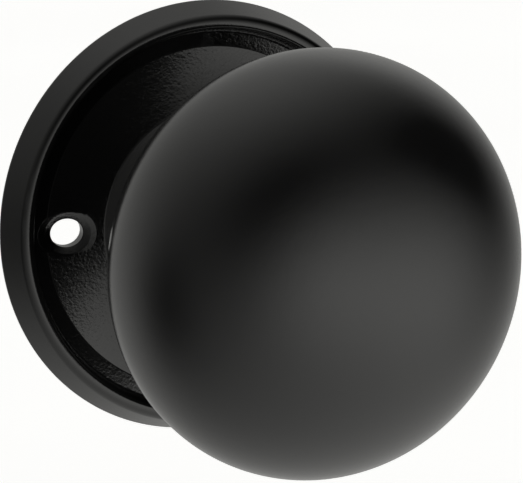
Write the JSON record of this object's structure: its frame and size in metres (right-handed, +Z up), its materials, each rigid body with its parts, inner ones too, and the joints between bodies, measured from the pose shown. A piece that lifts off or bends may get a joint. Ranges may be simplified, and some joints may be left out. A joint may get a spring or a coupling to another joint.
{
  "type": "door knob",
  "caption": "Ball door knob on a round face-fixed rose, sprung to return to rest, with a square spindle that works a latch.",
  "frame": {"origin": "on the knob's axis, in the plane of the rose's front bearing face, 10 mm out from the door's face; also the centre of the whole part's box", "axes": "+Y along the knob's axis into the door, so -Y points at the user; +Z up; +X to the right as seen by the user"},
  "size_m": [0.065, 0.098, 0.065],
  "materials": {
    "black_coat": "satin powder coat, smooth, with a very faint fine grain",
    "textured_black_coat": "satin powder coat with a fine leathery texture on the dome",
    "zinc_steel": "bright zinc plate",
    "spring_steel": "oiled spring steel",
    "nylon": "moulded black nylon",
    "brass": "plain"
  },
  "bodies": {
    "rose_body": {"rose": "textured_black_coat", "neck_bush": "nylon", "cover_plate": "zinc_steel", "cover_screw_left": "zinc_steel", "cover_screw_right": "zinc_steel", "return_spring": "spring_steel"},
    "knob_body": {"knob_shell": "black_coat", "base_plate": "black_coat", "lock_washer": "spring_steel", "clamp_nut": "zinc_steel", "shank": "black_coat", "thrust_washer": "brass", "drive_plate": "zinc_steel", "drive_pin_top": "zinc_steel", "drive_pin_bottom": "zinc_steel", "wave_washer": "spring_steel", "shim_washer": "zinc_steel", "circlip": "spring_steel", "spindle": "zinc_steel", "grub_screw": "spring_steel"}
  },
  "joints": [
    {"name": "knob_turn", "type": "hinge", "parent": "rose_body", "child": "knob_body", "pos_m": [0, 0, 0], "axis": [0, 1, 0], "range_deg": [-60, 60], "stiffness_Nm_per_rad": 0.5, "deforming": ["return_spring"]}
  ]
}
